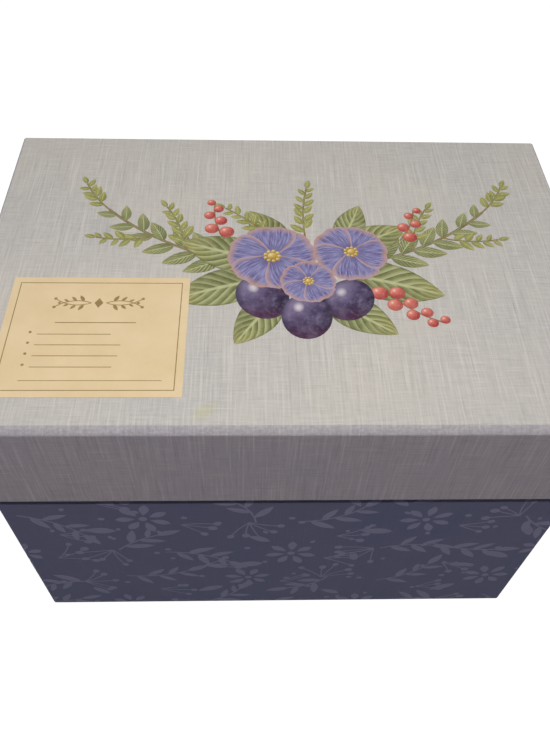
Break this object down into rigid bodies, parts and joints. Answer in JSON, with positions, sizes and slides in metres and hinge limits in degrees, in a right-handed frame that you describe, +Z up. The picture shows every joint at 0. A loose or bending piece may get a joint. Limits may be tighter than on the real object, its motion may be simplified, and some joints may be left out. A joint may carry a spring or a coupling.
{
  "type": "recipe box",
  "caption": "Paper-wrapped greyboard box with a back-hinged lid, holding recipe cards behind tabbed dividers, reference cards and a capped pen.",
  "frame": {"origin": "on the floor under the middle of the closed box", "axes": "+X along the width, to the right seen from the front; +Y towards the hinge at the back; +Z up"},
  "size_m": [0.172, 0.118, 0.1216],
  "materials": {
    "base_paper": "matte, woven emboss",
    "divider_card": "matte",
    "greyboard": "matte",
    "gummed_tape": "matte",
    "label_paper": "matte",
    "lid_paper": "matte, woven emboss",
    "lining_card": "matte",
    "pen_grip_plastic": "satin",
    "pen_metal": "polished",
    "pen_plastic": "gloss",
    "pen_point_brass": "polished",
    "pen_refill_plastic": "satin",
    "recipe_card": "matte",
    "reference_card": "matte",
    "strip_paper": "matte",
    "underside_paper": "matte"
  },
  "bodies": {
    "base": {"base_back_board": "greyboard", "base_corner_stays": "gummed_tape", "base_floor_board": "greyboard", "base_front_board": "greyboard", "base_left_board": "greyboard", "base_lining": "lining_card", "base_right_board": "greyboard", "base_underside_sheet": "underside_paper", "base_wrap_paper": "base_paper", "hinge_flap_board": "greyboard", "hinge_flap_paper": "lid_paper", "hinge_strip_base": "strip_paper", "pen_barrel": "pen_plastic", "pen_end_plug": "pen_plastic", "pen_band": "pen_metal", "pen_grip": "pen_grip_plastic", "pen_refill": "pen_refill_plastic", "pen_point": "pen_point_brass", "divider_9": "divider_card", "recipe_cards_9": "recipe_card"},
    "lid": {"hinge_strip_lid": "strip_paper", "lid_corner_stays": "gummed_tape", "lid_front_board": "greyboard", "lid_label": "label_paper", "lid_left_board": "greyboard", "lid_lining": "lining_card", "lid_right_board": "greyboard", "lid_top_board": "greyboard", "lid_wrap_paper": "lid_paper"},
    "pen_cap": {"pen_cap": "pen_plastic", "pen_cap_clip": "pen_metal"},
    "section_8": {"divider_8": "divider_card", "recipe_cards_8": "recipe_card"},
    "section_7": {"divider_7": "divider_card", "recipe_cards_7": "recipe_card"},
    "section_6": {"divider_6": "divider_card", "recipe_cards_6": "recipe_card"},
    "section_5": {"divider_5": "divider_card", "recipe_cards_5": "recipe_card"},
    "section_4": {"divider_4": "divider_card", "recipe_cards_4": "recipe_card"},
    "section_3": {"divider_3": "divider_card", "recipe_cards_3": "recipe_card"},
    "section_2": {"divider_2": "divider_card", "recipe_cards_2": "recipe_card"},
    "section_1": {"divider_1": "divider_card", "recipe_cards_1": "recipe_card"},
    "reference_section": {"reference_cards": "reference_card"}
  },
  "joints": [
    {"name": "lid_hinge", "type": "hinge", "parent": "base", "child": "lid", "pos_m": [0, 0.059, 0.11885], "axis": [-1, 0, 0], "range_deg": [0, 175]},
    {"name": "reference_lean", "type": "hinge", "parent": "base", "child": "reference_section", "pos_m": [0, 0.01067, 0.00324], "axis": [1, 0, 0], "range_deg": [0, 45]},
    {"name": "section_1_lean", "type": "hinge", "parent": "base", "child": "section_1", "pos_m": [0, 0.01387, 0.00321], "axis": [1, 0, 0], "range_deg": [0, 40]},
    {"name": "section_2_lean", "type": "hinge", "parent": "base", "child": "section_2", "pos_m": [0, 0.01706, 0.00321], "axis": [1, 0, 0], "range_deg": [0, 35]},
    {"name": "section_3_lean", "type": "hinge", "parent": "base", "child": "section_3", "pos_m": [0, 0.02026, 0.00321], "axis": [1, 0, 0], "range_deg": [0, 30]},
    {"name": "section_4_lean", "type": "hinge", "parent": "base", "child": "section_4", "pos_m": [0, 0.02346, 0.00321], "axis": [1, 0, 0], "range_deg": [0, 25]},
    {"name": "section_5_lean", "type": "hinge", "parent": "base", "child": "section_5", "pos_m": [0, 0.02665, 0.00321], "axis": [1, 0, 0], "range_deg": [0, 20]},
    {"name": "section_6_lean", "type": "hinge", "parent": "base", "child": "section_6", "pos_m": [0, 0.02985, 0.00321], "axis": [1, 0, 0], "range_deg": [0, 15]},
    {"name": "section_7_lean", "type": "hinge", "parent": "base", "child": "section_7", "pos_m": [0, 0.03304, 0.00321], "axis": [1, 0, 0], "range_deg": [0, 10]},
    {"name": "section_8_lean", "type": "hinge", "parent": "base", "child": "section_8", "pos_m": [0, 0.03624, 0.00321], "axis": [1, 0, 0], "range_deg": [0, 5]},
    {"name": "pen_cap_pull", "type": "slide", "parent": "base", "child": "pen_cap", "axis": [1, 0, 0], "range_m": [0, 0.033]}
  ],
  "couplings": [
    {"joint": "section_1_lean", "follows": "reference_lean", "ratio": 0.88888},
    {"joint": "section_2_lean", "follows": "reference_lean", "ratio": 0.77777},
    {"joint": "section_3_lean", "follows": "reference_lean", "ratio": 0.66666},
    {"joint": "section_4_lean", "follows": "reference_lean", "ratio": 0.55555},
    {"joint": "section_5_lean", "follows": "reference_lean", "ratio": 0.44444},
    {"joint": "section_6_lean", "follows": "reference_lean", "ratio": 0.33333},
    {"joint": "section_7_lean", "follows": "reference_lean", "ratio": 0.22222},
    {"joint": "section_8_lean", "follows": "reference_lean", "ratio": 0.11111}
  ]
}
